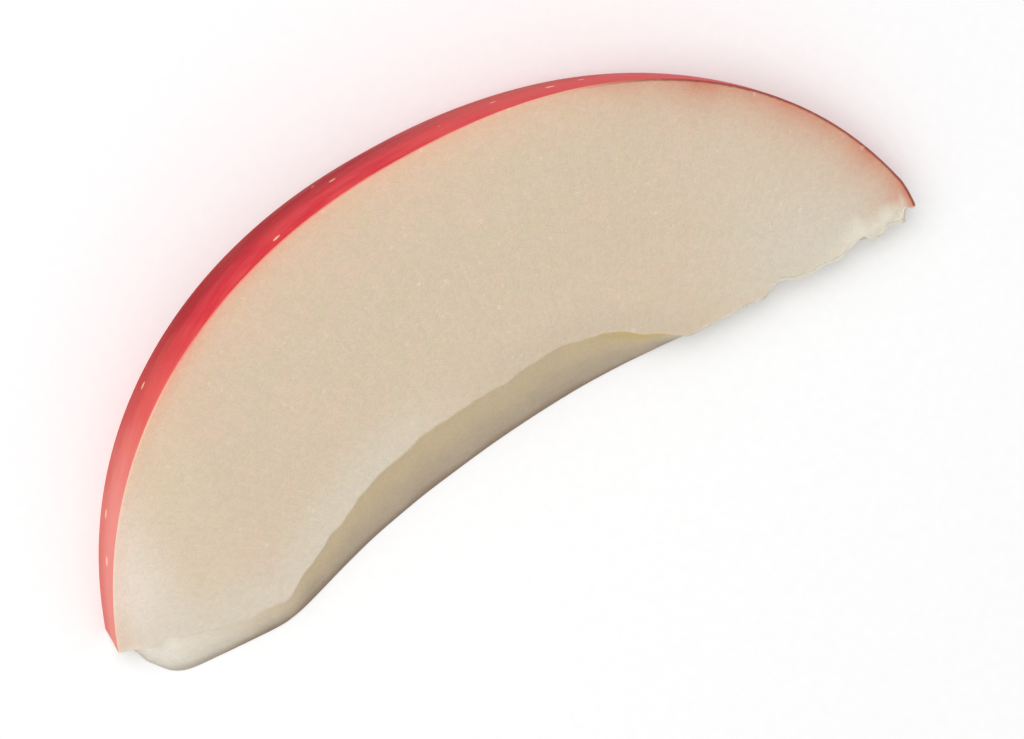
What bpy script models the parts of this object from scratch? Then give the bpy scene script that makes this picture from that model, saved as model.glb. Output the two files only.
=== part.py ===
"""A slender wedge of a red-skinned eating apple, cut from pole to pole, with its core scooped out.

The wedge lies on one of its two flat cut faces.  Units are metres and +Z is up:
  +X  along the apple's core line, towards the wedge's ragged end
  +Y  from the core line out to the skin
  +Z  from the cut face that rests to the cut face that shows
Points are worked out as (x, radius, turn) about the core line: turn is 0 on the resting face and
WEDGE_ANGLE on the upper face.  The whole wedge is then shifted, so that its box stands on the
origin.
"""

import math

import bmesh
import bpy
from mathutils import Vector, noise

# The whole apple: its skin is a superellipse turned about the core line, fuller at the ragged end.
EQUATOR_RADIUS = 0.0340
HALF_HEIGHT = 0.0386
BLUNT_SQUARENESS = 2.15
RAGGED_SQUARENESS = 2.24

# At the ragged end the skin then rolls over a shoulder, towards the apple's hollow.
SHOULDER_START = 0.0368
SHOULDER_LENGTH = 0.00032
SHOULDER_DROP = 0.0016

# The wedge is the apple's flesh between two half planes that meet at the core line.
WEDGE_ANGLE = math.radians(16.0)

# The inner edge of each cut face, from one tip of the skin to the other.  The tips are x values,
# where the edge meets the skin.  The corners between them are (x, radius): three at the blunt end,
# the start and the end of the scooped core, and two at the ragged end.  The scoop reaches in by its
# depth, in a quarter wave as long as its entry, and comes out in one as long as its exit.
UPPER_EDGE = {
    "tips": (-0.03755, SHOULDER_START + SHOULDER_LENGTH),
    "corners": (
        (-0.0343, 0.0073),
        (-0.0337, 0.0077),
        (-0.0293, 0.0063),
        (-0.0233, 0.00575),
        (0.0150, 0.0091),
        (0.0338, 0.0086),
        (0.0359, 0.0087),
    ),
    "scoop": {"depth": 0.0052, "entry": 0.0165, "exit": 0.0110},
}
LOWER_EDGE = {
    "tips": (-0.0371, 0.0370),
    "corners": (
        (-0.0354, 0.0070),
        (-0.0340, 0.0045),
        (-0.0290, 0.0042),
        (-0.0234, 0.0039),
        (0.0152, 0.0089),
        (0.0335, 0.0090),
        (0.0355, 0.0092),
    ),
    "scoop": {"depth": 0.0018, "entry": 0.0150, "exit": 0.0170},
}
SCOOP_START, SCOOP_END = 3, 4

# The knife left the scoop slightly uneven, and past it the flesh broke instead of being cut.
SCOOP_UNEVENNESS = 0.00022
SCOOP_WAVE_LENGTH = 0.0032
CRAG_HEIGHT = 0.00060
CRAG_SHARE_ABOVE = 0.30
CRAG_LENGTH = 0.0017
CRAG_FADE = 0.0030
CRAG_TIP_FADE = 0.0008

# Chips missing from the upper edge of the broken stretch, as (x of the deepest point, depth,
# length before it, length after it).
CHIPS = (
    (0.0240, 0.00050, 0.0017, 0.0018),
    (0.0320, 0.00065, 0.0026, 0.0008),
    (0.0343, 0.00040, 0.0007, 0.0016),
    (0.0363, 0.00065, 0.0004, 0.0012),
)

# How many stations lie on each stretch between the tips and the corners.
STATIONS = (10, 2, 5, 6, 36, 50, 8, 10)
FACE_ROWS = 6
SKIN_ROWS = 8
SHARP_ANGLE = math.radians(30)
WELD_DISTANCE = 1e-7

FLESH_COLOR = (0.79, 0.66, 0.49, 1.0)
SKIN_COLOR = (0.56, 0.05, 0.06, 1.0)


def clear_scene():
    for item in list(bpy.data.objects):
        bpy.data.objects.remove(item, do_unlink=True)


def make_material(name, color, roughness):
    material = bpy.data.materials.new(name)
    material.use_nodes = True
    shader = material.node_tree.nodes["Principled BSDF"]
    shader.inputs["Base Color"].default_value = color
    shader.inputs["Roughness"].default_value = roughness
    shader.inputs["Metallic"].default_value = 0.0
    return material


def mix(a, b, share):
    return a + (b - a) * share


def smoothstep(share):
    share = min(max(share, 0.0), 1.0)
    return share * share * (3.0 - 2.0 * share)


def shoulder_drop(x):
    share = min(max((x - SHOULDER_START) / SHOULDER_LENGTH, 0.0), 1.0)
    return SHOULDER_DROP * (1.0 - math.sqrt(1.0 - share * share))


def skin_radius(x):
    """Distance from the core line to the skin."""
    squareness = BLUNT_SQUARENESS if x < 0.0 else RAGGED_SQUARENESS
    share = 1.0 - abs(x / HALF_HEIGHT) ** squareness
    return EQUATOR_RADIUS * max(share, 0.0) ** (1.0 / squareness) - shoulder_drop(x)


def edge_knots(edge):
    """An edge's tips and corners, as (x, radius)."""
    left, right = edge["tips"]
    return [(left, skin_radius(left)), *edge["corners"], (right, skin_radius(right))]


def quarter_wave(share):
    return math.sin(0.5 * math.pi * min(share, 1.0))


def scoop(x, edge):
    """How much further out the scooped core lies than the straight line across it."""
    start = edge["corners"][SCOOP_START][0]
    end = edge["corners"][SCOOP_END][0]
    if not start < x < end:
        return 0.0
    size = edge["scoop"]
    uneven = SCOOP_UNEVENNESS * noise.noise(Vector((x / SCOOP_WAVE_LENGTH, 0.0, 2.5)))
    swell = quarter_wave((x - start) / size["entry"]) * quarter_wave((end - x) / size["exit"])
    return (size["depth"] + uneven) * swell


def chip(x):
    """How far the chips set the upper edge back."""
    depth = 0.0
    for deepest, full, before, after in CHIPS:
        length = before if x < deepest else after
        depth += full * smoothstep(1.0 - abs(x - deepest) / length)
    return depth


def crag(x, turn_share):
    """Broken relief at the ragged end, fading out at the scoop and at the tip."""
    start = UPPER_EDGE["corners"][SCOOP_END][0]
    end = UPPER_EDGE["tips"][1]
    fade = smoothstep((x - start) / CRAG_FADE) * smoothstep((end - x) / CRAG_TIP_FADE)
    if fade == 0.0:
        return 0.0
    coarse = noise.noise(Vector((x / CRAG_LENGTH, 1.3 * turn_share, 4.7)))
    fine = noise.noise(Vector((2.3 * x / CRAG_LENGTH, 2.1 * turn_share, 9.1)))
    height = CRAG_HEIGHT * mix(1.0, CRAG_SHARE_ABOVE, turn_share)
    return fade * (height * (coarse + 0.5 * fine) + chip(x) * turn_share)


def station_shares():
    """For each station, the edge's stretch that it is on and its share of the way along."""
    shares = []
    last = len(STATIONS) - 1
    for stretch, count in enumerate(STATIONS):
        for step in range(count):
            share = step / count
            if stretch == 0:
                share = share * share
            elif stretch == last:
                share = 1.0 - (1.0 - share) ** 2
            shares.append((stretch, share))
    shares.append((last, 1.0))
    return shares


def inner_points(edge):
    """The inner edge of a cut face, as an (x, radius) for each station."""
    knots = edge_knots(edge)
    points = []
    for stretch, share in station_shares():
        x = mix(knots[stretch][0], knots[stretch + 1][0], share)
        radius = mix(knots[stretch][1], knots[stretch + 1][1], share) + scoop(x, edge)
        points.append((x, radius))
    return points


def place(x, radius, turn_share):
    turn = WEDGE_ANGLE * turn_share
    return Vector((x, radius * math.cos(turn), radius * math.sin(turn)))


def station_ring(upper, lower, is_tip):
    """The closed ring of points round the wedge at one station, and the part each one starts.

    It runs out along the upper face, down the skin, in along the resting face and up the core.
    """
    ring = []
    for row in range(FACE_ROWS):
        share = row / FACE_ROWS
        radius = mix(upper[1] + crag(upper[0], 1.0) * (not is_tip), skin_radius(upper[0]), share)
        ring.append((place(upper[0], radius, 1.0), "flesh"))
    for row in range(SKIN_ROWS):
        share = 1.0 - row / SKIN_ROWS
        x = mix(lower[0], upper[0], share)
        ring.append((place(x, skin_radius(x), share), "skin"))
    for row in range(FACE_ROWS):
        share = 1.0 - row / FACE_ROWS
        radius = mix(lower[1] + crag(lower[0], 0.0) * (not is_tip), skin_radius(lower[0]), share)
        ring.append((place(lower[0], radius, 0.0), "flesh"))
    for row in range(SKIN_ROWS):
        share = row / SKIN_ROWS
        x = mix(lower[0], upper[0], share)
        radius = mix(lower[1], upper[1], share) + crag(x, share)
        if is_tip:
            radius = skin_radius(x)
        ring.append((place(x, radius, share), "flesh"))
    return ring


def wedge_rings():
    upper = inner_points(UPPER_EDGE)
    lower = inner_points(LOWER_EDGE)
    last = len(upper) - 1
    return [station_ring(upper[i], lower[i], i in (0, last)) for i in range(last + 1)]


def stand_on_origin(rings):
    """Shift every point, so that the middle of the box's base is the origin."""
    points = [point for ring in rings for point, _ in ring]
    low = Vector([min(point[axis] for point in points) for axis in range(3)])
    high = Vector([max(point[axis] for point in points) for axis in range(3)])
    base = Vector((0.5 * (low.x + high.x), 0.5 * (low.y + high.y), low.z))
    return [[(point - base, part) for point, part in ring] for ring in rings]


def make_wedge(name):
    rings = stand_on_origin(wedge_rings())
    size = len(rings[0])
    slots = {"flesh": 0, "skin": 1}
    form = bmesh.new()
    rows = [[form.verts.new(point) for point, _ in ring] for ring in rings]
    for i in range(len(rows) - 1):
        for j in range(size):
            k = (j + 1) % size
            face = form.faces.new((rows[i][j], rows[i][k], rows[i + 1][k], rows[i + 1][j]))
            face.material_index = slots[rings[i][j][1]]
    bmesh.ops.remove_doubles(form, verts=form.verts, dist=WELD_DISTANCE)
    bmesh.ops.recalc_face_normals(form, faces=form.faces)
    bmesh.ops.triangulate(form, faces=form.faces)
    mesh = bpy.data.meshes.new(name)
    form.to_mesh(mesh)
    form.free()
    mesh.materials.append(make_material("flesh", FLESH_COLOR, 0.55))
    mesh.materials.append(make_material("skin", SKIN_COLOR, 0.30))
    mesh.shade_smooth()
    mesh.set_sharp_from_angle(angle=SHARP_ANGLE)
    wedge = bpy.data.objects.new(name, mesh)
    bpy.context.scene.collection.objects.link(wedge)
    return wedge


clear_scene()
make_wedge("apple_wedge")
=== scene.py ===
"""The looks of an apple wedge: fine flesh, a broken end, red skin, a white floor and soft light.

One mesh, "wedge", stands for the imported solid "apple_wedge".  It has the same form, built from the
same named sizes, with rounded edges and fine relief added.  Lengths are in metres unless a comment
says mm, and +Z is up:
  +X  along the apple's core line, towards the wedge's ragged end
  +Y  from the core line out to the skin
  +Z  from the cut face that rests to the cut face that shows
"""

import math
from types import SimpleNamespace

import bmesh
import bpy
import numpy as np
from mathutils import Matrix, Vector, noise


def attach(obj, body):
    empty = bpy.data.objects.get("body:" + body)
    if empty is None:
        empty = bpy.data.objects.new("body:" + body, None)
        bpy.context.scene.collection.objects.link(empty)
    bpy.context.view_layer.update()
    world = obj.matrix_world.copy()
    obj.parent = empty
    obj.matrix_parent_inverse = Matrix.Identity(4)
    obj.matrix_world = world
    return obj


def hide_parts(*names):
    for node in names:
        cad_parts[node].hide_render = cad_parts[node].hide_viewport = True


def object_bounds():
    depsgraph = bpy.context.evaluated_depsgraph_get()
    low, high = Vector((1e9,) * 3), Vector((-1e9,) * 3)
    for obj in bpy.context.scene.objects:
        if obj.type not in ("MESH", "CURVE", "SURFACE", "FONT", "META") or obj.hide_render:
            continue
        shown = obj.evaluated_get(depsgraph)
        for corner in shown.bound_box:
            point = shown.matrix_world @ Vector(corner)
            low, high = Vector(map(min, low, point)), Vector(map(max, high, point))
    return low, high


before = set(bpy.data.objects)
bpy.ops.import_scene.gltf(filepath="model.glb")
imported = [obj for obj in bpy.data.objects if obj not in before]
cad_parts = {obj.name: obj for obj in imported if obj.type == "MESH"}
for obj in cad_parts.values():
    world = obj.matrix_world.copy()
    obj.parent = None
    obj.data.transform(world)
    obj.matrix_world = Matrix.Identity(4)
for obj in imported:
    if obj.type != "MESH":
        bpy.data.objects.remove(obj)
CAD_LOW, CAD_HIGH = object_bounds()

MM = 0.001

# The form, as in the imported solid: a superellipse turned about the core line, and two half planes.
EQUATOR_RADIUS = 34.0 * MM
HALF_HEIGHT = 38.6 * MM
BLUNT_SQUARENESS = 2.15
RAGGED_SQUARENESS = 2.24
SHOULDER_START = 36.8 * MM
SHOULDER_LENGTH = 0.32 * MM
SHOULDER_DROP = 1.6 * MM
WEDGE_ANGLE = math.radians(16.0)

# The wedge's sides, in the order in which the points of each station run round it.
SIDES = range(4)
UPPER_SIDE, SKIN_SIDE, LOWER_SIDE, CORE_SIDE = SIDES

# The inner edge of each cut face, in mm: tips as x, corners as (x, radius), and the scoop between
# the corners SCOOP_START and SCOOP_END.  Softening says how many times its corners are smoothed,
# and nicks how far the knife's nicks reach in.
UPPER_EDGE = {
    "tips": (-37.55, 37.12),
    "corners": (
        (-34.3, 7.3),
        (-33.7, 7.7),
        (-29.3, 6.3),
        (-23.3, 5.75),
        (15.0, 9.1),
        (33.8, 8.6),
        (35.9, 8.7),
    ),
    "scoop": {"depth": 5.2, "entry": 16.5, "exit": 11.0},
    "softening": 6,
    "nicks": 0.36,
}
LOWER_EDGE = {
    "tips": (-37.1, 37.0),
    "corners": (
        (-35.4, 7.0),
        (-34.0, 4.5),
        (-29.0, 4.2),
        (-23.4, 3.9),
        (15.2, 8.9),
        (33.5, 9.0),
        (35.5, 9.2),
    ),
    "scoop": {"depth": 1.8, "entry": 15.0, "exit": 17.0},
    "softening": 30,
    "nicks": 0.0,
}
SCOOP_START, SCOOP_END = 3, 4

# The scoop's slight unevenness, in mm, with the seed of its noise.
SCOOP_UNEVENNESS = 0.22
SCOOP_WAVE_LENGTH = 3.2
SCOOP_SEED = 2.5

# Softening and nicks fade out at the end of the cut stretch, and the nicks also at the blunt tip.
CUT_END = 14.0 * MM
CUT_FADE = 2.0 * MM
NICK_LENGTH = 1.1 * MM
NICK_ENTRY = 4.0 * MM
NICK_SEED = 15.0

# The broken stretch past the scoop, in mm.  Its crags are lower above, by CRAG_SHARE_ABOVE.  They
# are noise in two sizes, each given as (steps along, steps across, seed), and a third noise makes
# them wander sideways.
CRAG_HEIGHT = 0.60
CRAG_SHARE_ABOVE = 0.30
CRAG_LENGTH = 1.7
CRAG_FADE = 3.0
CRAG_TIP_FADE = 0.8
CRAG_COARSE = (1.0, 1.3, 4.7)
CRAG_FINE = (2.3, 2.1, 9.1)
CRAG_FINE_SHARE = 0.5
CRAG_DRIFT = (0.4, 2.6, 8.2)
CRAG_WANDER = 2.2

# Chips in mm, each as (x of its deepest point, depth, length before it, length after it).
CHIPS = (
    (24.0, 0.50, 1.7, 1.8),
    (32.0, 0.65, 2.6, 0.8),
    (34.3, 0.40, 0.7, 1.6),
    (36.3, 0.65, 0.4, 1.2),
)

# How finely the mesh is divided: stations on each stretch of the wedge, rows on each side, and rows
# on each rounding between two sides.  The rows of a side lie closer together near its roundings.
STATIONS = (34, 6, 18, 20, 104, 150, 18, 26)
SIDE_ROWS = {UPPER_SIDE: 72, SKIN_SIDE: 48, LOWER_SIDE: 34, CORE_SIDE: 48}
ROUND_ROWS = 5
ROW_EASING = 0.75
WELD_DISTANCE = 1e-7

# How far the rounding of each edge reaches into the sides beside it, and the largest share of a
# side that it may take.  The core's roundings narrow to that of the break between the two x values
# of BREAK_ROUNDING_REACH.  Roundings and relief both fade out at the tips, within TIP_REACH.
SKIN_ROUNDING = 0.08 * MM
SKIN_ROUNDING_CHANGE = 0.03 * MM
SKIN_ROUNDING_WAVE = 1.1 * MM
SKIN_ROUNDING_SEED = 6.3
CORE_ROUNDING = 0.22 * MM
CORE_UNDERCUT = 0.35 * MM
BREAK_ROUNDING = 0.06 * MM
BREAK_ROUNDING_REACH = (13.0 * MM, 16.0 * MM)
TIP_REACH = 1.0 * MM
LARGEST_ROUNDING_SHARE = 0.4

# Relief, as (depth, wave length, seed).  All of it sinks into the plain form, and none stands out.
FACE_SWELL = (0.11 * MM, 11.0 * MM, 1.0)
FACE_RIPPLE = (0.030 * MM, 2.4 * MM, 2.0)
FACE_PITS = (0.016 * MM, 0.75 * MM, 3.0)
CORE_SWELL = (0.22 * MM, 5.0 * MM, 4.0)
CORE_RIPPLE = (0.06 * MM, 1.3 * MM, 5.0)
SKIN_SWELL = (0.05 * MM, 9.0 * MM, 6.0)
BREAK_LUMPS = (0.26 * MM, 0.95 * MM, 7.0)
BREAK_CRUMBS = (0.10 * MM, 0.42 * MM, 8.0)

# How far from the skin, from the lower inner edge and from the resting plane the relief takes to
# reach its full depth.
SKIN_HOLD = 1.4 * MM
LOWER_HOLD = 1.2 * MM
FOOT_HOLD = 0.6 * MM

# The torn rim of the upper face: its drop as (depth, wave length, seed), and its reach as (width,
# wave length, seed) times a share from RIM_NARROWEST up to that plus RIM_SPREAD.
RIM_DROP = (0.05 * MM, 0.8 * MM, 12.0)
RIM_REACH = (0.22 * MM, 1.9 * MM, 11.0)
RIM_NARROWEST = 0.25
RIM_SPREAD = 1.2

# The flake split off beside the ragged tip.  It starts at an (x, radius); its outer edge slopes
# outwards and wavers, and the drop grows over FLAKE_EDGE inwards and over FLAKE_ENTRY along.
FLAKE_START = (32.0 * MM, 9.2 * MM)
FLAKE_SLOPE = 0.286
FLAKE_DROP = 0.15 * MM
FLAKE_WAVER = 0.22 * MM
FLAKE_WAVER_LENGTH = 0.9 * MM
FLAKE_SEED = 1.4
FLAKE_EDGE = 0.9 * MM
FLAKE_ENTRY = 0.7 * MM

# Which rows have the core's colour, counted in sides.  It rises this steeply within the rounding
# under the core, and is gone at CORE_END in the rounding over it, after fading over CORE_FADE.
CORE_RISE = 12.0
CORE_END = 3.85
CORE_FADE = 0.6

# Each seed shifts the noise by this much, and the gain spreads its values over 0 to 1.
SEED_SHIFT = np.array((3.7, 1.9, 2.3))
NOISE_GAIN = 0.65

# The skin's outline is a row of so many points, and the mesh is searched in so many parts, which
# keeps the arrays small.
OUTLINE_POINTS = 1500
OUTLINE_SEARCHES = 60

# The least values of a length and of an unscaled normal, so that nothing is divided by 0.
SHORTEST = 1e-9
SHORTEST_NORMAL = 1e-12


def srgb(red, green, blue):
    """A colour given as display levels out of 255, as the linear RGBA that shaders take."""
    linear = []
    for level in (red, green, blue):
        share = level / 255.0
        linear.append(share / 12.92 if share <= 0.04045 else ((share + 0.055) / 1.055) ** 2.4)
    return (*linear, 1.0)


def mix(a, b, share):
    return a + (b - a) * share


def smoothstep(share):
    share = np.clip(share, 0.0, 1.0)
    return share * share * (3.0 - 2.0 * share)


def noise_at(points):
    """Perlin noise, from about -1 to 1, at an array of points."""
    flat = np.asarray(points).reshape(-1, 3)
    values = [noise.noise(Vector(point)) for point in flat]
    return np.array(values).reshape(np.shape(points)[:-1])


def noise_on(along, across, seed):
    """Perlin noise on a plane, in steps along and across; each seed is a plane of its own."""
    return noise_at(np.stack([along, across + 0.0 * along, seed + 0.0 * along], axis=-1))


def unit_noise(points, length, seed):
    """Perlin noise from 0 to 1 with the given wave length, shifted by a seed."""
    places = np.asarray(points) / length + seed * SEED_SHIFT
    return np.clip(0.5 + NOISE_GAIN * noise_at(places), 0.0, 1.0)


# ---------------------------------------------------------------- the form


def skin_radius(x):
    """Distance from the core line to the skin."""
    squareness = np.where(x < 0.0, BLUNT_SQUARENESS, RAGGED_SQUARENESS)
    share = np.maximum(1.0 - np.abs(x / HALF_HEIGHT) ** squareness, 0.0)
    bend = np.clip((x - SHOULDER_START) / SHOULDER_LENGTH, 0.0, 1.0)
    drop = SHOULDER_DROP * (1.0 - np.sqrt(1.0 - bend * bend))
    return EQUATOR_RADIUS * share ** (1.0 / squareness) - drop


def edge_knots(edge):
    """An edge's tips and corners, as an array of (x, radius) in metres."""
    left, right = (tip * MM for tip in edge["tips"])
    corners = [(x * MM, radius * MM) for x, radius in edge["corners"]]
    left_knot = (left, float(skin_radius(np.array(left))))
    right_knot = (right, float(skin_radius(np.array(right))))
    return np.array([left_knot, *corners, right_knot])


def quarter_wave(share):
    return np.sin(0.5 * math.pi * np.clip(share, 0.0, 1.0))


def scoop(x, edge):
    """How much further out the scooped core lies than the straight line across it."""
    size = edge["scoop"]
    before = x / MM - edge["corners"][SCOOP_START][0]
    after = edge["corners"][SCOOP_END][0] - x / MM
    swell = quarter_wave(before / size["entry"]) * quarter_wave(after / size["exit"])
    uneven = SCOOP_UNEVENNESS * noise_on(x / MM / SCOOP_WAVE_LENGTH, 0.0, SCOOP_SEED)
    return MM * (size["depth"] + uneven) * swell


def chip(x):
    """How far the chips set the upper edge back."""
    depth = 0.0 * x
    for deepest, full, before, after in CHIPS:
        away = x / MM - deepest
        length = np.where(away < 0.0, before, after)
        depth += full * MM * smoothstep(1.0 - np.abs(away) / length)
    return depth


def break_share(x):
    """1 on the broken stretch, fading out at the scoop and at the tip."""
    before = x / MM - UPPER_EDGE["corners"][SCOOP_END][0]
    after = UPPER_EDGE["tips"][1] - x / MM
    return smoothstep(before / CRAG_FADE) * smoothstep(after / CRAG_TIP_FADE)


def drift(x, turn_share):
    """How the crags wander sideways between the two faces; nothing on the faces themselves."""
    along, across, seed = CRAG_DRIFT
    between = 4.0 * turn_share * (1.0 - turn_share)
    return between * noise_on(along * x / MM, across * turn_share, seed)


def crag(x, turn_share):
    """Broken relief at the ragged end."""
    step = (x / MM + CRAG_WANDER * drift(x, turn_share)) / CRAG_LENGTH
    coarse, fine = (
        noise_on(along * step, across * turn_share, seed)
        for along, across, seed in (CRAG_COARSE, CRAG_FINE)
    )
    height = MM * CRAG_HEIGHT * mix(1.0, CRAG_SHARE_ABOVE, turn_share)
    return break_share(x) * (height * (coarse + CRAG_FINE_SHARE * fine) + chip(x) * turn_share)


def station_places():
    """For each station, the edge's stretch that it is on and its share of the way along."""
    stretches = []
    shares = []
    last = len(STATIONS) - 1
    for stretch, count in enumerate(STATIONS):
        share = np.arange(count) / count
        if stretch == 0:
            share = share**2
        elif stretch == last:
            share = 1.0 - (1.0 - share) ** 2
        stretches.append(np.full(count, stretch))
        shares.append(share)
    return np.append(np.concatenate(stretches), last), np.append(np.concatenate(shares), 1.0)


def inner_edge(edge):
    """The inner edge of a cut face at every station, as arrays of x and radius."""
    stretch, share = station_places()
    knots = edge_knots(edge)
    x = mix(knots[stretch, 0], knots[stretch + 1, 0], share)
    radius = mix(knots[stretch, 1], knots[stretch + 1, 1], share) + scoop(x, edge)
    cut = 1.0 - smoothstep((x - CUT_END) / CUT_FADE)
    radius = soften_corners(radius, cut, edge["softening"])
    nicked = cut * smoothstep((x - x[0]) / NICK_ENTRY)
    line = np.stack([x, 0.0 * x, 0.0 * x], axis=-1)
    return x, radius + nicked * edge["nicks"] * MM * unit_noise(line, NICK_LENGTH, NICK_SEED)


def soften_corners(radius, cut, rounds):
    """Round the corners in the inner edge where it is cut, but none on the broken stretch."""
    for _ in range(rounds):
        middle = 0.25 * (radius[:-2] + 2.0 * radius[1:-1] + radius[2:])
        radius[1:-1] = mix(radius[1:-1], middle, cut[1:-1])
    return radius


def eased_shares(first, last, count):
    """Shares from first to last at each station, closer together at both ends."""
    step = np.linspace(0.0, 1.0, count)
    step = mix(step, smoothstep(step), ROW_EASING)
    return first[:, None] + (last - first)[:, None] * step[None, :]


def side_point(side, share, upper, lower):
    """Points of one side of the wedge, as arrays of x, radius and turn share.

    Each side starts where the last one ended.
    """
    upper_x, upper_radius = (values[:, None] + 0.0 * share for values in upper)
    lower_x, lower_radius = (values[:, None] + 0.0 * share for values in lower)
    if side == UPPER_SIDE:
        inner = upper_radius + crag(upper_x, 1.0)
        return upper_x, mix(inner, skin_radius(upper_x), share), 1.0 + 0.0 * share
    if side == SKIN_SIDE:
        x = mix(upper_x, lower_x, share)
        return x, skin_radius(x), 1.0 - share
    if side == LOWER_SIDE:
        inner = lower_radius + crag(lower_x, 0.0)
        return lower_x, mix(skin_radius(lower_x), inner, share), 0.0 * share
    x = mix(lower_x, upper_x, share)
    return x, mix(lower_radius, upper_radius, share) + crag(x, share), share


def to_space(x, radius, turn_share):
    turn = WEDGE_ANGLE * turn_share
    return np.stack([x, radius * np.cos(turn), radius * np.sin(turn)], axis=-1)


def side_at(side, share, upper, lower):
    """One side's points in space; at the two tips the core lies on the skin."""
    x, radius, turn_share = side_point(side, share, upper, lower)
    radius[[0, -1]] = skin_radius(x[[0, -1]])
    return to_space(x, radius, turn_share)


def rounding_lengths(x):
    """For each side, how far the rounding at its end reaches, at every station."""
    tips = smoothstep((x - x[0]) / TIP_REACH)
    tips = tips * smoothstep((x[-1] - x) / TIP_REACH)
    change = noise_on(x / SKIN_ROUNDING_WAVE, 0.0, SKIN_ROUNDING_SEED)
    skin = SKIN_ROUNDING + SKIN_ROUNDING_CHANGE * change
    start, end = BREAK_ROUNDING_REACH
    broken = smoothstep((x - start) / (end - start))
    under = mix(CORE_UNDERCUT, BREAK_ROUNDING, broken)
    over = mix(CORE_ROUNDING, BREAK_ROUNDING, broken)
    return [skin * tips, skin * tips, under * tips, over * tips]


def side_length(side, upper, lower):
    """The length of one side at every station."""
    zero = np.zeros((len(upper[0]), 1))
    start, end = (side_at(side, zero + share, upper, lower)[:, 0] for share in (0.0, 1.0))
    return np.maximum(np.linalg.norm(end - start, axis=-1), SHORTEST)


def wedge_grid():
    """The wedge's points as a grid of stations by rows, and each row's side, from 0 to 4.

    Whole sides are whole numbers; a rounding between two sides has the shares between them.
    """
    upper = inner_edge(UPPER_EDGE)
    lower = inner_edge(LOWER_EDGE)
    roundings = rounding_lengths(upper[0])
    lengths = [side_length(side, upper, lower) for side in SIDES]
    blocks = []
    row_sides = []
    for side in SIDES:
        following = (side + 1) % len(SIDES)
        first = np.minimum(roundings[side - 1] / lengths[side], LARGEST_ROUNDING_SHARE)
        last = 1.0 - np.minimum(roundings[side] / lengths[side], LARGEST_ROUNDING_SHARE)
        after = np.minimum(roundings[side] / lengths[following], LARGEST_ROUNDING_SHARE)
        share = eased_shares(first, last, SIDE_ROWS[side])
        blocks.append(side_at(side, share, upper, lower))
        row_sides += [float(side)] * SIDE_ROWS[side]
        start = side_at(side, last[:, None], upper, lower)
        corner = side_at(side, 1.0 + 0.0 * last[:, None], upper, lower)
        end = side_at(following, after[:, None], upper, lower)
        step = (np.arange(ROUND_ROWS) + 1.0) / (ROUND_ROWS + 1.0)
        bend = step[None, :, None]
        blocks.append((1 - bend) ** 2 * start + 2 * bend * (1 - bend) * corner + bend**2 * end)
        row_sides += list(side + step)
    return np.concatenate(blocks, axis=1), np.array(row_sides)


# ---------------------------------------------------------------- relief and surface facts


def grid_normals(grid):
    """Outward normals of a grid of points."""
    along = np.gradient(grid, axis=0)
    round_about = np.roll(grid, -1, axis=1) - np.roll(grid, 1, axis=1)
    normals = np.cross(along, round_about)
    return normals / np.maximum(np.linalg.norm(normals, axis=-1, keepdims=True), SHORTEST_NORMAL)


def side_share(row_sides, side):
    """How much each row belongs to a side: 1 on it, falling to 0 across the roundings beside it."""
    half = 0.5 * len(SIDES)
    away = np.abs((row_sides - side + half) % len(SIDES) - half)
    return np.clip(1.0 - away, 0.0, 1.0)


def skin_places(grid):
    """For each point, its distance to the skin's outline and the place along the outline, in mm."""
    left, right = (tip * MM for tip in UPPER_EDGE["tips"])
    share = 0.5 - 0.5 * np.cos(np.linspace(0.0, math.pi, OUTLINE_POINTS))
    x = mix(left, right, share)
    outline = np.stack([x, skin_radius(x)], axis=-1)
    arc = np.append(0.0, np.cumsum(np.linalg.norm(np.diff(outline, axis=0), axis=-1)))
    flat = np.stack([grid[..., 0], np.hypot(grid[..., 1], grid[..., 2])], axis=-1).reshape(-1, 2)
    gaps = []
    arcs = []
    for points in np.array_split(flat, OUTLINE_SEARCHES):
        apart = np.linalg.norm(points[:, None] - outline[None], axis=-1)
        nearest = apart.argmin(axis=1)
        gaps.append(apart[np.arange(len(points)), nearest])
        arcs.append(arc[nearest])
    shape = grid.shape[:2]
    return np.concatenate(gaps).reshape(shape) / MM, np.concatenate(arcs).reshape(shape) / MM


def core_gaps(grid, row_sides):
    """For each point, its distance to the inner edge of its own cut face, in mm.

    It is 0 on the core, and comes in across the roundings beside the core.
    """
    last_row = np.flatnonzero(row_sides == LOWER_SIDE)[-1]
    over = np.linalg.norm(grid - grid[:, :1], axis=-1)
    under = np.linalg.norm(grid - grid[:, last_row : last_row + 1], axis=-1)
    away = np.where(row_sides < 0.5 * (SKIN_SIDE + LOWER_SIDE), over, under) / MM
    return away * (1.0 - side_share(row_sides, CORE_SIDE))


def core_shares(row_sides):
    """1 on the core and round under it, and 0 on the two cut faces."""
    under = np.clip(CORE_RISE * (row_sides - LOWER_SIDE), 0.0, 1.0)
    over = np.clip((CORE_END - row_sides) / CORE_FADE, 0.0, 1.0)
    return under * over


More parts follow.
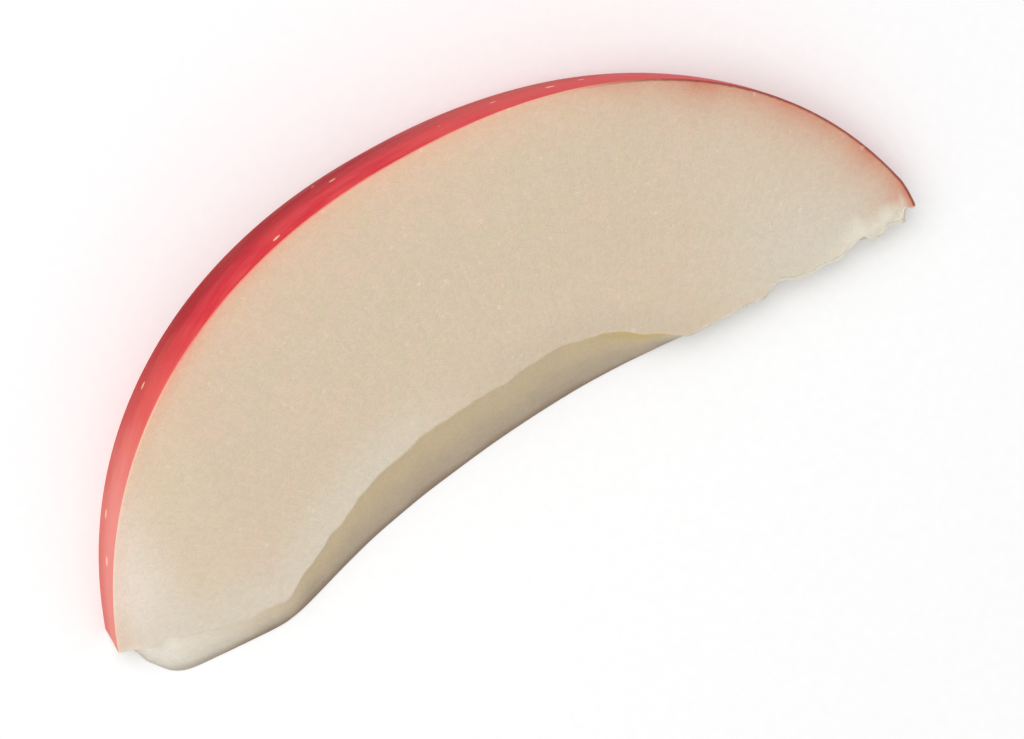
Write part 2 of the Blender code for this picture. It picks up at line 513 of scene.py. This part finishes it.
def relief(grid, row_sides, gap, core_gap):
    """How deep each point of the grid sinks below the plain form.

    The taut skin holds the flesh up beside it, so the faces sink only away from their outline.  The
    foot of the core is a thin wedge of flesh, so both of its sides stay as they are.
    """
    upper = side_share(row_sides, UPPER_SIDE)[None, :]
    lower = side_share(row_sides, LOWER_SIDE)[None, :] * smoothstep(core_gap * MM / LOWER_HOLD)
    faces = np.maximum(upper, lower) * smoothstep(gap * MM / SKIN_HOLD)
    core = side_share(row_sides, CORE_SIDE)[None, :] * smoothstep(grid[..., 2] / FOOT_HOLD)
    skin = side_share(row_sides, SKIN_SIDE)[None, :]
    broken = core * break_share(grid[..., 0])
    layers = (
        (faces, FACE_SWELL),
        (faces, FACE_RIPPLE),
        (faces, FACE_PITS),
        (core, CORE_SWELL),
        (core, CORE_RIPPLE),
        (skin, SKIN_SWELL),
        (broken, BREAK_LUMPS),
        (broken, BREAK_CRUMBS),
    )
    depth = 0.0 * gap
    for share, (full, length, seed) in layers:
        depth += share * full * unit_noise(grid, length, seed)
    depth += upper * (rim_drop(grid, core_gap) + flake_drop(grid))
    x = grid[..., 0]
    tip = smoothstep(np.minimum(x - x[0, 0], x[-1, 0] - x) / TIP_REACH)
    return depth * tip


def rim_drop(grid, core_gap):
    """The torn rim of the upper face along the broken stretch."""
    deepest, drop_wave, drop_seed = RIM_DROP
    widest, reach_wave, reach_seed = RIM_REACH
    along = grid * (1.0, 0.0, 0.0)
    reach = widest * (RIM_NARROWEST + RIM_SPREAD * unit_noise(along, reach_wave, reach_seed))
    full = deepest * unit_noise(grid, drop_wave, drop_seed)
    return break_share(grid[..., 0]) * full * smoothstep(1.0 - core_gap * MM / reach)


def flake_drop(grid):
    """A flake split off the upper face beside the ragged tip."""
    x = grid[..., 0]
    radius = np.hypot(grid[..., 1], grid[..., 2])
    start_x, start_radius = FLAKE_START
    edge = start_radius + FLAKE_SLOPE * (x - start_x)
    edge += FLAKE_WAVER * noise_on(x / FLAKE_WAVER_LENGTH, 0.0, FLAKE_SEED)
    inside = smoothstep((edge - radius) / FLAKE_EDGE)
    return FLAKE_DROP * inside * smoothstep((x - start_x) / FLAKE_ENTRY)


# ---------------------------------------------------------------- the mesh


def write_attribute(mesh, name, values):
    layer = mesh.attributes.new(name, "FLOAT", "POINT")
    layer.data.foreach_set("value", np.ascontiguousarray(values, dtype=np.float32).ravel())


def weld(mesh):
    """Join the points that meet at the tips, and turn every face outwards."""
    form = bmesh.new()
    form.from_mesh(mesh)
    bmesh.ops.remove_doubles(form, verts=form.verts, dist=WELD_DISTANCE)
    bmesh.ops.recalc_face_normals(form, faces=form.faces)
    form.to_mesh(mesh)
    form.free()


def make_wedge(name, flesh, skin):
    """The wedge, with the measures that its looks go by as attributes of the mesh."""
    grid, row_sides = wedge_grid()
    gap, arc = skin_places(grid)
    core_gap = core_gaps(grid, row_sides)
    turn = np.arctan2(grid[..., 2], np.maximum(grid[..., 1], SHORTEST))
    facts = {
        "skin_gap": gap,
        "skin_arc": arc,
        "skin_across": turn * np.hypot(grid[..., 1], grid[..., 2]) / MM,
        "core_gap": core_gap,
        "core_share": core_shares(row_sides)[None, :] + 0.0 * gap,
        "turn_share": turn / WEDGE_ANGLE,
    }

    sunk = grid - grid_normals(grid) * relief(grid, row_sides, gap, core_gap)[..., None]
    sunk[..., 2] = np.maximum(sunk[..., 2], 0.0)
    shift = np.array([CAD_LOW.x, CAD_HIGH.y, CAD_LOW.z])
    shift -= np.array([grid[..., 0].min(), grid[..., 1].max(), 0.0])

    stations, rows = gap.shape
    index = np.arange(stations * rows).reshape(stations, rows)
    next_row = np.roll(index, -1, axis=1)
    quads = np.stack([index[:-1], next_row[:-1], next_row[1:], index[1:]], axis=-1).reshape(-1, 4)
    middles = row_sides + 0.5 * ((np.roll(row_sides, -1) - row_sides) % len(SIDES))
    is_skin = np.abs(middles - SKIN_SIDE) < 0.5

    mesh = bpy.data.meshes.new(name)
    mesh.from_pydata((sunk + shift).reshape(-1, 3).tolist(), [], quads.tolist())
    mesh.polygons.foreach_set("material_index", np.tile(is_skin, stations - 1).astype(np.int32))
    for fact, values in facts.items():
        write_attribute(mesh, fact, values)
    weld(mesh)
    mesh.materials.append(flesh)
    mesh.materials.append(skin)
    mesh.shade_smooth()
    wedge = bpy.data.objects.new(name, mesh)
    bpy.context.scene.collection.objects.link(wedge)
    return wedge


# ---------------------------------------------------------------- node helpers


class Look:
    """One material's node tree, with a short call for each kind of node it needs."""

    def __init__(self, name):
        self.material = bpy.data.materials.new(name)
        self.material.use_nodes = True
        self.tree = self.material.node_tree
        self.shader = self.tree.nodes["Principled BSDF"]
        self.place = self.in_mm()

    def add(self, kind, inputs, **settings):
        node = self.tree.nodes.new(kind)
        for name, value in settings.items():
            setattr(node, name, value)
        for key, value in inputs.items():
            self.feed(node.inputs[key], value)
        return node

    def feed(self, socket, value):
        if isinstance(value, bpy.types.NodeSocket):
            self.tree.links.new(value, socket)
        else:
            socket.default_value = value

    def finish(self, inputs):
        """Feed the shader's inputs, and hand over the material."""
        for name, value in inputs.items():
            self.feed(self.shader.inputs[name], value)
        return self.material

    def in_mm(self):
        """The point's place on the object, in mm."""
        spot = self.tree.nodes.new("ShaderNodeTexCoord").outputs["Object"]
        scaled = self.add("ShaderNodeVectorMath", {0: spot, "Scale": 1.0 / MM}, operation="SCALE")
        return scaled.outputs["Vector"]

    def attribute(self, name):
        return self.add("ShaderNodeAttribute", {}, attribute_name=name).outputs["Fac"]

    def vector(self, x, y, z):
        return self.add("ShaderNodeCombineXYZ", {"X": x, "Y": y, "Z": z}).outputs["Vector"]

    def sheet(self, along, across, seed):
        """A place in a pattern that goes by two measures; each seed gives a pattern of its own."""
        return self.vector(along, across, seed)

    def split(self, vector):
        return self.add("ShaderNodeSeparateXYZ", {"Vector": vector}).outputs

    def math(self, operation, a, b=0.0):
        return self.add("ShaderNodeMath", {0: a, 1: b}, operation=operation).outputs["Value"]

    def times(self, a, b):
        return self.math("MULTIPLY", a, b)

    def plus(self, a, b):
        return self.math("ADD", a, b)

    def minus(self, a, b):
        return self.math("SUBTRACT", a, b)

    def decay(self, value, rate):
        """1 at zero, falling off exponentially; the rate is below zero."""
        return self.math("EXPONENT", self.times(value, rate))

    def span(self, value, start, end, low=0.0, high=1.0, slope="SMOOTHSTEP"):
        """A step from low at start to high at end: a smooth one, or an even one if LINEAR."""
        inputs = {"Value": value, "From Min": start, "From Max": end, "To Min": low, "To Max": high}
        node = self.add("ShaderNodeMapRange", inputs, interpolation_type=slope)
        return node.outputs["Result"]

    def blend(self, share, a, b, mode="MIX"):
        node = self.add("ShaderNodeMix", {"Factor": share}, data_type="RGBA", blend_type=mode)
        first, second = [socket for socket in node.inputs if socket.type == "RGBA"]
        self.feed(first, a)
        self.feed(second, b)
        return next(socket for socket in node.outputs if socket.type == "RGBA")

    def lit(self, color, light):
        """A colour made lighter or darker by a factor near 1."""
        return self.blend(1.0, color, self.vector(light, light, light), "MULTIPLY")

    def cloud(self, vector, size, detail=2.0, roughness=0.5):
        """Soft noise from 0 to 1, with features about `size` mm across."""
        inputs = {"Vector": vector, "Scale": 1.0 / size, "Detail": detail, "Roughness": roughness}
        return self.add("ShaderNodeTexNoise", inputs).outputs["Fac"]

    def cells(self, vector, size, feature="F1"):
        """A pattern of cells about `size` mm across, each with a colour of its own."""
        inputs = {"Vector": vector, "Scale": 1.0 / size}
        return self.add("ShaderNodeTexVoronoi", inputs, feature=feature)

    def bump(self, height, distance, strength, under=None):
        """Fine relief, on top of the relief under it if that is given."""
        inputs = {"Height": height, "Distance": distance, "Strength": strength}
        if under is not None:
            inputs["Normal"] = under
        return self.add("ShaderNodeBump", inputs).outputs["Normal"]


# ---------------------------------------------------------------- materials

FLESH = srgb(217, 200, 176)
FLESH_PINK = srgb(223, 198, 178)
FLESH_OLIVE = srgb(212, 201, 168)
FLESH_PALE = srgb(236, 230, 219)
FLESH_GREY = srgb(219, 210, 193)
FLESH_DUSK = srgb(212, 195, 172)
FLESH_CLEAR = srgb(221, 208, 183)
GLOW_LEFT = srgb(237, 196, 166)
GLOW_RIGHT = srgb(220, 191, 162)
BLUSH_LEFT = srgb(239, 150, 130)
BLUSH_RIGHT = srgb(208, 98, 68)
SKIN_LINE = srgb(112, 40, 38)
SEAM = srgb(222, 112, 102)
CORE_KHAKI = srgb(209, 188, 153)
# painted shade: a darker copy of the core's khaki, for its lower part
CORE_KHAKI_PAINTED_SHADE = srgb(184, 168, 147)
CORE_CREAM = srgb(248, 240, 226)
CORE_MUSTARD = srgb(204, 179, 112)
# painted shade: a darker copy of the core's cream, for its lower part at the blunt end
CORE_CREAM_PAINTED_SHADE = srgb(234, 226, 212)
# painted shade: darker colours for the core's foot and for the edge that rests on the floor
CORE_FOOT_PAINTED_SHADE = srgb(168, 151, 131)
CORE_REST_PAINTED_SHADE = srgb(126, 108, 90)
BREAK_CREAM = srgb(234, 227, 210)
BREAK_GREY = srgb(203, 193, 176)
# painted glint: the colour of tiny glints on moist flesh cells
PAINTED_GLINT = srgb(246, 236, 218)

SKIN_CRIMSON = srgb(206, 40, 54)
SKIN_RED = srgb(215, 70, 74)
# the skin's own dark red, also used as painted shade towards the resting face
SKIN_DARK_AND_PAINTED_SHADE = srgb(160, 0, 18)
# the skin's own coral, also used as painted sheen and painted reflection
SKIN_CORAL_AND_PAINTED_SHEEN = srgb(219, 96, 90)
# partly the skin's own pink, partly painted sheen and a painted highlight
SKIN_PINK_AND_PAINTED_SHEEN = srgb(230, 142, 132)
LENTICEL = srgb(246, 196, 168)

# The sizes of the flesh's cells and of the cells that hold the skin's dots and specks, in mm.
CELL_SIZE = 0.30
DOT_SPACING = 2.3
SPECK_SPACING = 0.62

# The looks go by measures of the surface, in mm except for the last two: x, height, gap (to the
# skin's outline), arc (along that outline), across (round the core line), core_gap (to the face's
# inner edge), core (1 on the core) and turn (0 on the resting face, 1 on the upper one).  Each span
# reads as (value, start, end, low, high).


def face_color(look, at):
    """The cut face: mottled flesh, paler at the blunt end and greyer beside the core."""
    patches = look.cloud(look.place, 6.0, detail=3.0, roughness=0.6)
    color = look.blend(look.span(patches, 0.42, 0.66, 0.0, 0.5), FLESH, FLESH_PINK)
    mottles = look.cloud(look.place, 2.0, detail=3.0, roughness=0.7)
    color = look.blend(look.span(mottles, 0.50, 0.72, 0.0, 0.6), color, FLESH_OLIVE)
    blotches = look.cloud(look.sheet(at.x, look.times(at.gap, 0.8), seed=12.0), 1.3)
    color = look.blend(look.span(blotches, 0.55, 0.75, 0.0, 0.5), color, FLESH_PINK)
    color = look.blend(look.span(at.x, -23.0, -28.0, 0.0, 0.5), color, FLESH_CLEAR)
    color = look.blend(look.span(at.x, -28.5, -36.0), color, FLESH_PALE)
    near_core = look.times(look.span(at.core_gap, 5.0, 0.5), look.span(at.x, -2.0, -12.0, 0.0, 0.7))
    color = look.blend(near_core, color, FLESH_GREY)
    near_break = look.span(at.core_gap, 10.0, 0.5, 0.35, 0.9)
    near_break = look.times(near_break, look.span(at.x, 14.0, 29.0))
    color = look.blend(near_break, color, FLESH_GREY)
    dusk = look.times(look.span(at.x, -6.0, 2.0), look.span(at.x, 20.0, 14.0))
    dusk = look.times(look.span(at.core_gap, 3.5, 0.3), dusk)
    return look.blend(dusk, color, FLESH_DUSK)


def with_streaks(look, at, color):
    """Faint streaks that run in from the skin."""
    place = look.sheet(look.times(at.arc, 2.0), look.times(at.gap, 0.20), seed=0.0)
    streaks = look.cloud(place, 1.0, detail=3.0, roughness=0.6)
    return look.lit(color, look.span(streaks, 0.25, 0.75, 0.985, 1.015))


def rim_share(look, at):
    """1 on the cut face's rim beside the ragged tip, but not by the skin."""
    rim = look.times(look.span(at.x, 27.0, 33.0), look.span(at.core_gap, 2.4, 0.7))
    return look.times(rim, look.span(at.gap, 0.3, 1.5))


def with_blush(look, at, color, rim):
    """A wide warm glow and a narrow blush under the skin, none of it on the rim."""
    right = look.span(at.x, 4.0, 24.0)
    clear = look.times(look.span(at.x, -24.0, -33.0, 0.85, 0.45), look.minus(1.0, rim))
    glow = look.times(look.decay(at.gap, -1.0 / 2.4), clear)
    color = look.blend(glow, color, look.blend(right, GLOW_LEFT, GLOW_RIGHT))
    uneven = look.cloud(look.sheet(at.arc, 0.0, seed=3.0), 4.0, detail=3.0)
    uneven = look.span(uneven, 0.3, 0.7, 0.7, 1.2)
    strength = look.span(at.x, -20.0, -3.0, 0.87, 0.28)
    strength = look.plus(strength, look.span(at.x, 12.0, 26.0, 0.0, 0.52))
    strength = look.times(strength, look.span(at.x, -24.0, -29.0, 1.0, 0.2))
    narrow = look.decay(at.gap, look.span(at.x, 6.0, 22.0, -2.2, -0.68))
    blush = look.times(look.times(narrow, strength), look.times(uneven, clear))
    return look.blend(blush, color, look.blend(right, BLUSH_LEFT, BLUSH_RIGHT))


def with_skin_line(look, at, color):
    """The skin's cut edge: a dark line at the ragged end, and a red seam along the rest."""
    uneven = look.cloud(look.sheet(at.arc, 0.0, seed=8.0), 0.6, detail=3.0)
    line = look.span(look.plus(at.gap, look.times(uneven, 0.12)), 0.36, 0.15)
    line = look.times(line, look.span(at.x, 12.0, 24.0, 0.0, 0.9))
    color = look.blend(line, color, SKIN_LINE)
    seam = look.span(at.x, -27.0, -20.0, 0.0, 0.75)
    seam = look.times(seam, look.span(at.x, 14.0, -2.0, 0.3, 1.0))
    return look.blend(look.times(look.span(at.gap, 0.20, 0.06), seam), color, SEAM)


def core_color(look, at):
    """The scooped core: cream at the blunt end, khaki further on, mustard where it ends, and painted
    shade that darkens it towards the resting face and at its foot.
    """
    uneven = look.times(look.cloud(look.place, 2.2, detail=3.0), 0.3)
    # Painted shade: the core's colour turns to its darker copy towards the resting face.
    low = look.span(look.plus(at.turn, uneven), 0.95, 0.25)
    cream = look.span(at.x, -21.0, -35.0, slope="LINEAR")
    high_color = look.blend(cream, CORE_KHAKI, CORE_CREAM)
    shaded_color = look.blend(cream, CORE_KHAKI_PAINTED_SHADE, CORE_CREAM_PAINTED_SHADE)
    color = look.blend(low, high_color, shaded_color)
    # Painted shade: darker near the floor, at the foot of the core.
    foot = look.times(look.span(at.height, 0.55, 0.05), look.span(at.x, -30.0, -24.0, 0.3, 0.7))
    color = look.blend(foot, color, CORE_FOOT_PAINTED_SHADE)
    # Painted shade: darker still in the last fraction of a mm above the floor.
    rest = look.times(look.span(at.height, 0.30, 0.04), look.span(at.x, -36.0, -26.0, 0.3, 0.85))
    color = look.blend(rest, color, CORE_REST_PAINTED_SHADE)
    mustard = look.times(look.span(at.x, 6.0, 12.5), look.span(at.turn, 0.55, 0.95, 0.0, 0.8))
    color = look.blend(mustard, color, CORE_MUSTARD)
    return look.blend(look.span(at.x, 13.5, 18.0), color, BREAK_CREAM)


def with_break(look, at, color, rim):
    """The torn flesh: cream on the rim, and cream and grey on the break itself."""
    color = look.blend(look.times(rim, 0.75), color, BREAK_CREAM)
    torn = look.cloud(look.sheet(at.x, at.height, seed=21.0), 1.6, detail=3.0, roughness=0.65)
    torn = look.plus(torn, look.span(at.x, 21.0, 27.0, 0.0, 0.15))
    torn_color = look.blend(look.span(torn, 0.42, 0.56), BREAK_GREY, BREAK_CREAM)
    broken = look.times(look.span(at.x, 14.5, 19.0), look.span(at.core_gap, 0.20, 0.05))
    return look.blend(look.times(broken, 0.7), color, torn_color)


def flesh_look():
    """Moist apple flesh: fine cells, faint radial streaks and a blush under the skin."""
    look = Look("flesh")
    at = SimpleNamespace(
        x=look.split(look.place)["X"],
        height=look.split(look.place)["Z"],
        gap=look.attribute("skin_gap"),
        arc=look.attribute("skin_arc"),
        core_gap=look.attribute("core_gap"),
        core=look.attribute("core_share"),
        turn=look.attribute("turn_share"),
    )
    rim = rim_share(look, at)
    color = with_streaks(look, at, face_color(look, at))
    color = with_blush(look, at, color, rim)
    color = with_skin_line(look, at, color)
    color = look.blend(at.core, color, core_color(look, at))
    color = with_break(look, at, color, rim)

    cells = look.cells(look.place, CELL_SIZE)
    draw = look.split(cells.outputs["Color"])
    color = look.lit(color, look.span(draw["X"], 0.0, 1.0, 0.978, 1.022))
    # Painted glint: tiny pale spots in the base colour stand in for glints on moist cells.
    painted_glint = look.times(look.span(draw["Y"], 0.985, 0.999, 0.0, 0.20), look.minus(1.0, at.core))
    color = look.blend(painted_glint, color, PAINTED_GLINT)

    walls = look.cells(look.place, CELL_SIZE, feature="DISTANCE_TO_EDGE").outputs["Distance"]
    grain = look.cloud(look.place, 0.16, detail=3.0, roughness=0.6)
    normal = look.bump(look.span(walls, 0.0, 0.22), 0.03 * MM, 0.4)
    normal = look.bump(grain, 0.04 * MM, 0.4, normal)
    return look.finish(
        {
            "Base Color": color,
            "Roughness": look.span(grain, 0.2, 0.8, 0.42, 0.60),
            "Normal": normal,
            "Specular IOR Level": 0.30,
            "Subsurface Weight": 0.35,
            "Subsurface Radius": (1.0, 0.72, 0.50),
            "Subsurface Scale": 0.7 * MM,
        }
    )


def peel_color(look, at, wide):
    """The skin's reds: darker below as painted shade, streaked lengthways, coral and pink at the
    blunt end partly as painted sheen.
    """
    color = look.blend(look.span(wide, 0.3, 0.7), SKIN_CRIMSON, SKIN_RED)
    # Painted shade: the skin darkens towards the resting face.
    color = look.blend(look.span(at.turn, 0.85, 0.25, 0.0, 0.95), color, SKIN_DARK_AND_PAINTED_SHADE)
    fine_place = look.sheet(look.times(at.arc, 0.8), look.times(at.across, 1.9), seed=5.0)
    fine = look.cloud(fine_place, 1.0, detail=4.0)
    color = look.blend(look.span(fine, 0.50, 0.80, 0.0, 0.14), color, SKIN_CORAL_AND_PAINTED_SHEEN)
    color = look.blend(look.span(fine, 0.48, 0.22, 0.0, 0.12), color, SKIN_DARK_AND_PAINTED_SHADE)
    # A coral tone from x -4 to 10: partly the skin's own paler red, partly a painted reflection.
    color = look.blend(look.span(at.x, -4.0, 10.0, 0.0, 0.42), color, SKIN_CORAL_AND_PAINTED_SHEEN)
    streak_place = look.sheet(look.times(at.arc, 0.16), look.times(at.across, 1.5), seed=7.0)
    streaks = look.cloud(streak_place, 0.8, detail=3.0)
    color = look.blend(look.span(streaks, 0.50, 0.75, 0.0, 0.12), color, SKIN_CORAL_AND_PAINTED_SHEEN)
    color = look.blend(look.span(streaks, 0.48, 0.28, 0.0, 0.15), color, SKIN_DARK_AND_PAINTED_SHADE)

    uneven = look.cloud(look.sheet(look.times(at.arc, 0.5), at.across, seed=9.0), 1.6, detail=3.0)
    fade = look.plus(at.x, look.times(uneven, 5.0))
    over = look.span(at.turn, 0.15, 0.75, 0.6, 1.0)
    # Coral and then pink towards the blunt end, stronger towards the upper face: partly the skin's
    # own colour, partly painted sheen.
    coral = look.times(look.span(fade, -16.0, -26.5, 0.0, 0.9), over)
    color = look.blend(coral, color, SKIN_CORAL_AND_PAINTED_SHEEN)
    pink = look.times(look.span(fade, -24.0, -31.0, 0.0, 0.95), over)
    color = look.blend(pink, color, SKIN_PINK_AND_PAINTED_SHEEN)
    # Painted highlight: a thin pale pink line along the skin's edge by the upper face at the blunt
    # end.
    painted_lip_highlight = look.times(look.span(at.turn, 0.93, 0.99), look.span(at.x, -20.0, -27.0, 0.0, 0.4))
    return look.blend(painted_lip_highlight, color, SKIN_PINK_AND_PAINTED_SHEEN)


def skin_look():
    """Thin waxy skin: crimson with fine streaks from pole to pole and pale corky dots."""
    look = Look("skin")
    at = SimpleNamespace(
        x=look.split(look.place)["X"],
        arc=look.attribute("skin_arc"),
        across=look.attribute("skin_across"),
        turn=look.attribute("turn_share"),
    )
    wide = look.cloud(look.sheet(look.times(at.arc, 0.4), at.across, seed=0.0), 1.8)
    color = peel_color(look, at, wide)

    dots = look.cells(look.sheet(look.times(at.arc, 0.62), at.across, seed=0.0), DOT_SPACING)
    dot_size = look.span(look.split(dots.outputs["Color"])["X"], 0.0, 1.0, 0.02, 0.115)
    dot = look.minus(dot_size, dots.outputs["Distance"])
    color = look.blend(look.span(dot, -0.012, 0.03, 0.0, 0.85), color, LENTICEL)
    specks = look.cells(look.sheet(look.times(at.arc, 0.5), at.across, seed=4.0), SPECK_SPACING)
    speck = look.minus(0.10, specks.outputs["Distance"])
    shown = look.span(look.split(specks.outputs["Color"])["Y"], 0.55, 1.0, 0.0, 0.35)
    color = look.blend(look.times(look.span(speck, 0.0, 0.06), shown), color, LENTICEL)

    peel = look.cloud(look.place, 0.55, detail=3.0)
    normal = look.bump(peel, 0.03 * MM, 0.35)
    normal = look.bump(look.span(dot, -0.02, 0.03), 0.03 * MM, 0.5, normal)
    return look.finish(
        {
            "Base Color": color,
            "Roughness": look.span(wide, 0.2, 0.8, 0.30, 0.42),
            "Normal": normal,
            "Specular IOR Level": 0.01,
        }
    )


def floor_look():
    """White matt board with the faintest tooth."""
    look = Look("floor")
    tooth = look.cloud(look.place, 0.9, detail=4.0)
    shade = look.span(tooth, 0.2, 0.8, 0.940, 0.960)
    color = look.vector(shade, shade, shade)
    return look.finish({"Base Color": color, "Roughness": 0.9, "Specular IOR Level": 0.1})


# ---------------------------------------------------------------- the set

FLOOR_SIZE = 3.0

# The camera looks down on the upper face, this far from square on, from this way round, rolled.  It
# stands back until the wedge takes up WIDTH_SHARE of the frame's width.
VIEW_TILT = math.radians(25.0)
VIEW_TURN = math.radians(125.7)
VIEW_ROLL = math.radians(26.1)
FOCAL_LENGTH = 300.0
SENSOR_WIDTH = 36.0
WIDTH_SHARE = 0.80
CLIP_START = 0.01
CLIP_END = 10.0

WHITE = (1.0, 1.0, 1.0, 1.0)
WORLD_STRENGTH = 0.62
KEY = {"size": 0.90, "distance": 0.75, "azimuth": 135.0, "elevation": 58.0, "power": 4.3}


def make_floor():
    mesh = bpy.data.meshes.new("floor")
    half = 0.5 * FLOOR_SIZE
    corners = [(-half, -half, 0.0), (half, -half, 0.0), (half, half, 0.0), (-half, half, 0.0)]
    mesh.from_pydata(corners, [], [(0, 1, 2, 3)])
    mesh.materials.append(floor_look())
    floor = bpy.data.objects.new("floor", mesh)
    floor.location.z = CAD_LOW.z
    bpy.context.scene.collection.objects.link(floor)


def make_light(name, size, distance, azimuth, elevation, power):
    """A square soft light that faces the wedge; azimuth turns from +X towards +Y."""
    data = bpy.data.lights.new(name, "AREA")
    data.size = size
    data.energy = power
    light = bpy.data.objects.new(name, data)
    turn = math.radians(azimuth)
    rise = math.radians(elevation)
    level = math.cos(rise)
    away = Vector((math.cos(turn) * level, math.sin(turn) * level, math.sin(rise)))
    light.location = 0.5 * (CAD_LOW + CAD_HIGH) + away * distance
    light.rotation_euler = away.to_track_quat("Z", "Y").to_euler()
    bpy.context.scene.collection.objects.link(light)


def make_world():
    world = bpy.data.worlds.new("studio")
    world.use_nodes = True
    background = world.node_tree.nodes["Background"]
    background.inputs["Color"].default_value = WHITE
    background.inputs["Strength"].default_value = WORLD_STRENGTH
    bpy.context.scene.world = world


def make_camera(wedge):
    """Aim the camera square on the middle of what it sees of the wedge, and step back to fit it."""
    turned = Matrix.Rotation(WEDGE_ANGLE, 3, "X") @ Matrix.Rotation(VIEW_TURN, 3, "Z")
    turned = turned @ Matrix.Rotation(VIEW_TILT, 3, "Y")
    turned = turned @ Matrix.Rotation(-VIEW_TURN - VIEW_ROLL, 3, "Z")
    axes = np.array(turned)
    points = np.array([vertex.co for vertex in wedge.data.vertices]) @ axes
    low, high = points.min(axis=0), points.max(axis=0)
    distance = (high[0] - low[0]) / WIDTH_SHARE * FOCAL_LENGTH / SENSOR_WIDTH
    middle = 0.5 * (low + high) + np.array([0.0, 0.0, distance])
    data = bpy.data.cameras.new("camera")
    data.lens = FOCAL_LENGTH
    data.sensor_width = SENSOR_WIDTH
    data.clip_start = CLIP_START
    data.clip_end = CLIP_END
    camera = bpy.data.objects.new("camera", data)
    camera.matrix_world = Matrix.Translation(axes @ middle) @ turned.to_4x4()
    bpy.context.scene.collection.objects.link(camera)
    bpy.context.scene.camera = camera


wedge = make_wedge("wedge", flesh_look(), skin_look())
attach(wedge, "root")
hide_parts("apple_wedge")
make_floor()
make_light("key", **KEY)
make_world()
make_camera(wedge)
bpy.context.scene.view_settings.view_transform = "Standard"
